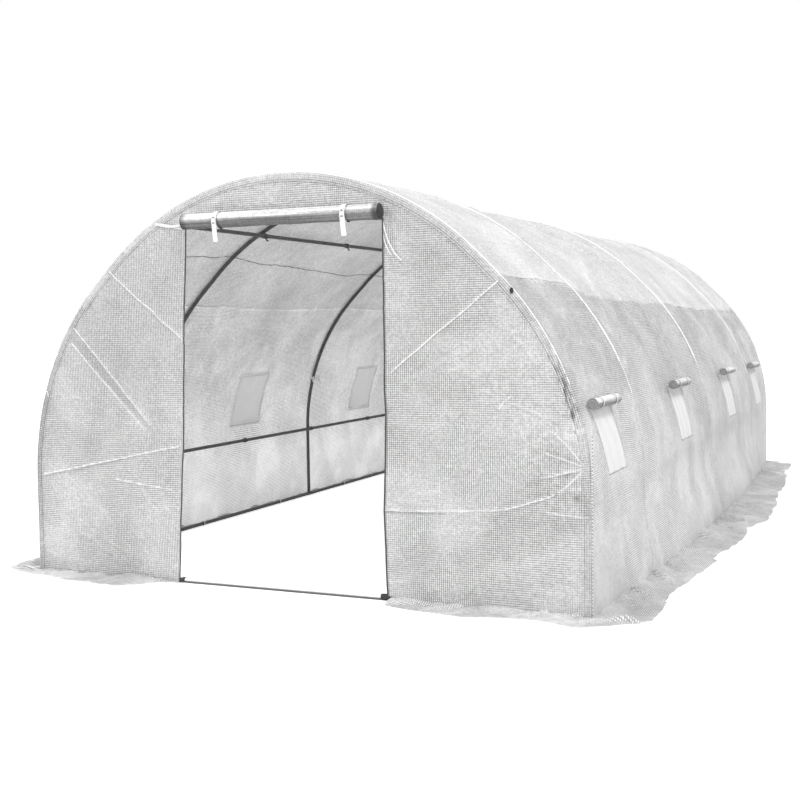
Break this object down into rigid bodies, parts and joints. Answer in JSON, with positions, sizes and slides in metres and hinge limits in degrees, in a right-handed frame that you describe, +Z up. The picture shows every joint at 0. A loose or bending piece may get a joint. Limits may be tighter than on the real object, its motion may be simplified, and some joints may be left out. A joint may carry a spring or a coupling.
{
  "type": "polytunnel greenhouse",
  "caption": "Walk-in polytunnel greenhouse: tube hoops under a woven film cover, rolled-up door, small side windows with mesh, and skirts spread on the ground.",
  "frame": {"origin": "on the ground at the middle of the footprint", "axes": "+Z up, +Y along the tunnel away from the doorway, +X to the right as seen from the doorway"},
  "size_m": [3.8, 6.4, 2],
  "materials": {
    "frame_tube": "dark grey coated steel tube",
    "cover_film": "white woven polyethylene film with a reinforcing grid",
    "insect_mesh": "fine white insect mesh",
    "zip": "dark plastic zip",
    "tie_tape": "white woven tie tape"
  },
  "bodies": {
    "root": {"hoop_front": "frame_tube", "hoop_second": "frame_tube", "hoop_middle": "frame_tube", "hoop_fourth": "frame_tube", "hoop_back": "frame_tube", "ridge_purlin": "frame_tube", "upper_purlin_left": "frame_tube", "upper_purlin_right": "frame_tube", "side_rail_left": "frame_tube", "side_rail_right": "frame_tube", "base_rail_left": "frame_tube", "base_rail_right": "frame_tube", "base_rail_back": "frame_tube", "door_sill_rail": "frame_tube", "roof_sheet": "cover_film", "side_sheet_left": "cover_film", "side_sheet_right": "cover_film", "front_panel_left": "cover_film", "front_panel_right": "cover_film", "front_lunette": "cover_film", "back_panel": "cover_film", "skirt_left": "cover_film", "skirt_right": "cover_film", "front_skirt_left": "cover_film", "front_skirt_right": "cover_film", "back_skirt": "cover_film", "door_roll": "cover_film", "window_rolls_right": "cover_film", "window_flaps_left": "cover_film", "window_meshes_left": "insect_mesh", "window_meshes_right": "insect_mesh", "door_zip_left": "zip", "door_zip_right": "zip", "door_ties": "tie_tape", "window_ties_right": "tie_tape"}
  },
  "joints": []
}
